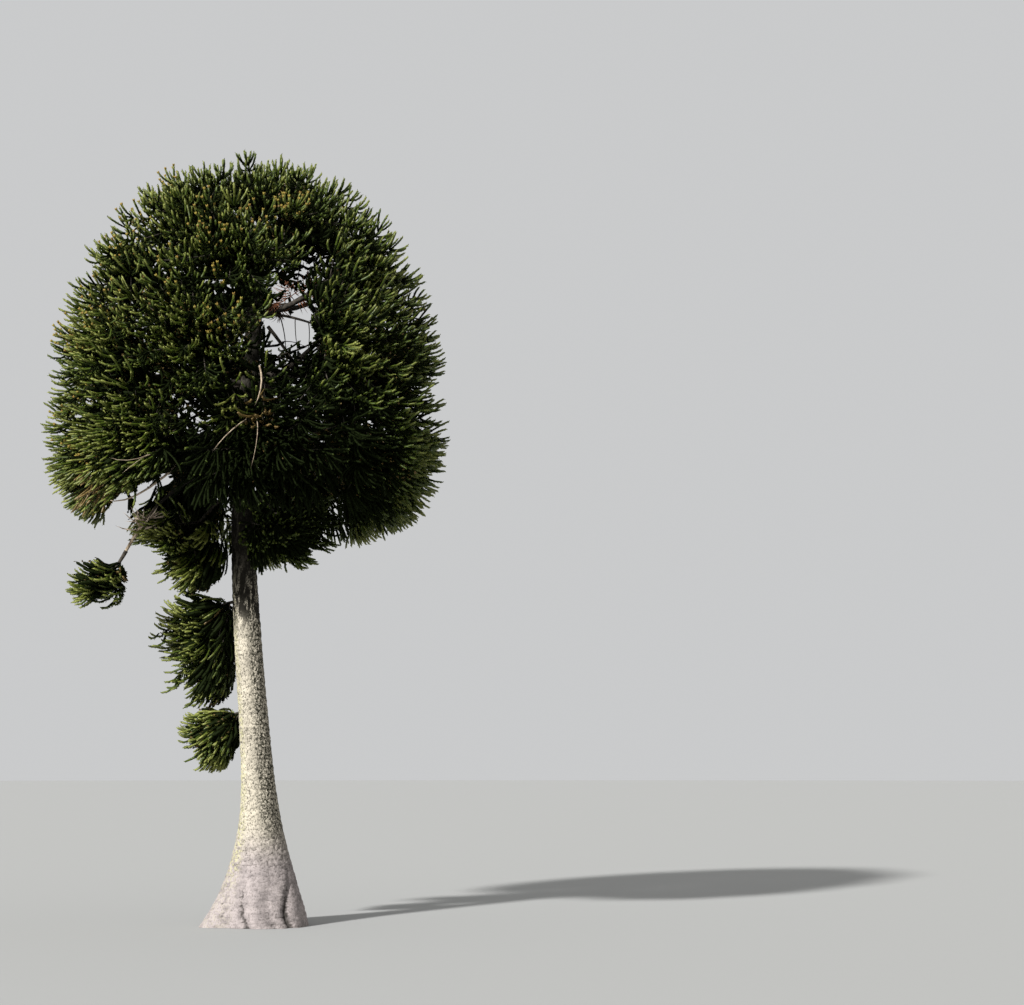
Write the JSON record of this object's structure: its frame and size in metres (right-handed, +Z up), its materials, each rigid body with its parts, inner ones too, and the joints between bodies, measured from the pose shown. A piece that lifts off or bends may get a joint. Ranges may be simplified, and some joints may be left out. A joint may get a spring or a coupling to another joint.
{
  "type": "monkey puzzle tree",
  "caption": "Tall conifer with a bare, flared trunk and a domed crown of boughs that end in masses of thick, rope-like leafy shoots.",
  "frame": {"origin": "middle of the flat cut at ground level under the trunk", "axes": "+Z up along the trunk, -Y towards the viewer of the picture, +X to the viewer's right"},
  "size_m": [13.676, 13.7561, 25.627],
  "materials": {
    "bark": "matt, rough",
    "limb": "matt, rough",
    "leaves": "satin",
    "dead_twigs": "matt"
  },
  "bodies": {
    "root": {"bough_hanging": "limb", "bough_low_1": "limb", "bough_low_2": "limb", "bough_low_3": "limb", "bough_low_4": "limb", "bough_low_5": "limb", "bough_low_6": "limb", "bough_low_7": "limb", "bough_middle_1": "limb", "bough_middle_2": "limb", "bough_middle_3": "limb", "bough_middle_4": "limb", "bough_middle_5": "limb", "bough_middle_6": "limb", "bough_middle_7": "limb", "bough_skirt_1": "limb", "bough_skirt_2": "limb", "bough_skirt_3": "limb", "bough_top_1": "limb", "bough_top_2": "limb", "bough_top_3": "limb", "bough_top_4": "limb", "bough_upper_1": "limb", "bough_upper_2": "limb", "bough_upper_3": "limb", "bough_upper_4": "limb", "bough_upper_5": "limb", "foliage_hanging": "leaves", "foliage_low_1": "leaves", "foliage_low_2": "leaves", "foliage_low_3": "leaves", "foliage_low_4": "leaves", "foliage_low_5": "leaves", "foliage_low_6": "leaves", "foliage_low_7": "leaves", "foliage_middle_1": "leaves", "foliage_middle_2": "leaves", "foliage_middle_3": "leaves", "foliage_middle_4": "leaves", "foliage_middle_5": "leaves", "foliage_middle_6": "leaves", "foliage_middle_7": "leaves", "foliage_skirt_1": "leaves", "foliage_skirt_2": "leaves", "foliage_skirt_3": "leaves", "foliage_tip": "leaves", "foliage_top_1": "leaves", "foliage_top_2": "leaves", "foliage_top_3": "leaves", "foliage_top_4": "leaves", "foliage_trunk_1": "leaves", "foliage_trunk_2": "leaves", "foliage_upper_1": "leaves", "foliage_upper_2": "leaves", "foliage_upper_3": "leaves", "foliage_upper_4": "leaves", "foliage_upper_5": "leaves", "trunk": "bark", "twigs_dead": "dead_twigs"}
  },
  "joints": []
}
